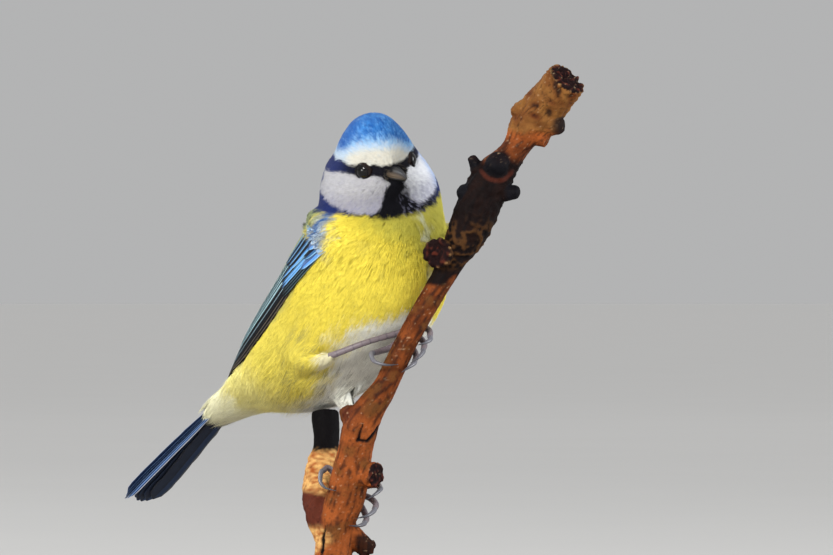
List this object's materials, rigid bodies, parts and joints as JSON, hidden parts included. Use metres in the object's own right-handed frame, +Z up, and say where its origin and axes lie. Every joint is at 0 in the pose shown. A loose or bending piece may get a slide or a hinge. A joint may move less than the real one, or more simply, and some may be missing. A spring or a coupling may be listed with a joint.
{
  "type": "blue tit on a branch",
  "caption": "Life-size still model of a blue tit gripping a short cut length of branch, held over a flat round base by a short rod.",
  "frame": {"origin": "middle of the underside of the stand's round base", "axes": "+Z up, from the base to the top of the branch; +X to the viewer's right in the picture's view; -Y towards that viewer"},
  "size_m": [0.1106, 0.1, 0.1328],
  "materials": {
    "cap_feathers": "soft barbed feather",
    "body_feathers": "soft downy feather",
    "wing_feathers": "smooth stiff feather",
    "tail_feathers": "smooth stiff feather",
    "bill": "satin horn",
    "eye": "wet gloss",
    "leg_skin": "scaled skin",
    "claw": "satin horn",
    "bark": "smooth bark with dark knots",
    "stand_base": "dark satin wood",
    "stand_rod": "brushed"
  },
  "bodies": {
    "root": {"head": "cap_feathers", "neck": "body_feathers", "torso": "body_feathers", "thigh_right": "body_feathers", "thigh_left": "body_feathers", "wing_right": "wing_feathers", "wing_left": "wing_feathers", "tail": "tail_feathers", "bill_upper": "bill", "bill_lower": "bill", "eye_right": "eye", "eye_left": "eye", "tarsus_right": "leg_skin", "tarsus_left": "leg_skin", "foot_right": "leg_skin", "foot_left": "leg_skin", "claw_right_1": "claw", "claw_right_2": "claw", "claw_right_3": "claw", "claw_right_4": "claw", "claw_left_1": "claw", "claw_left_2": "claw", "claw_left_3": "claw", "claw_left_4": "claw", "branch": "bark", "stand_base": "stand_base", "stand_rod": "stand_rod"}
  },
  "joints": []
}
